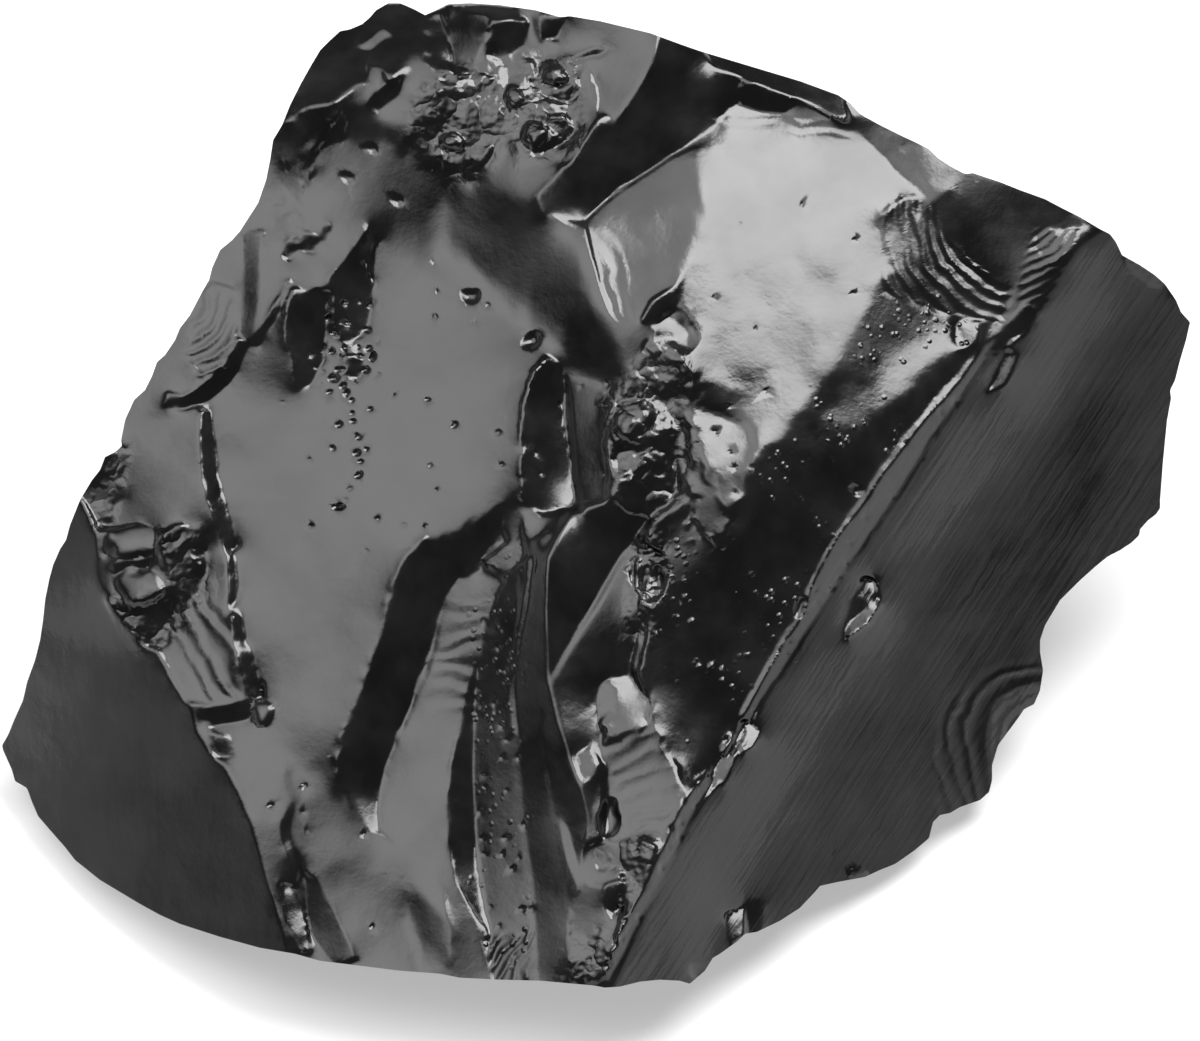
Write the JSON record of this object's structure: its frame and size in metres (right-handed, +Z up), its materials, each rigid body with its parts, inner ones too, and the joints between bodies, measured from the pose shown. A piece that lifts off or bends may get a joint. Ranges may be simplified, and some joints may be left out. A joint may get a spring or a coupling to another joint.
{
  "type": "obsidian chunk",
  "caption": "Broken chunk of black volcanic glass with smooth curved fracture faces, ridges, ledges and pits, resting on a flat underside.",
  "frame": {"origin": "below the middle of the stone, on the surface it rests on", "axes": "+X along the stone's long side, +Y towards its high back edge, +Z up"},
  "size_m": [0.0906, 0.0728, 0.0409],
  "materials": {
    "obsidian": "opaque black glass, glossy on fresh breaks and satin on the weathered skin"
  },
  "bodies": {
    "root": {"obsidian_chunk": "obsidian"}
  },
  "joints": []
}
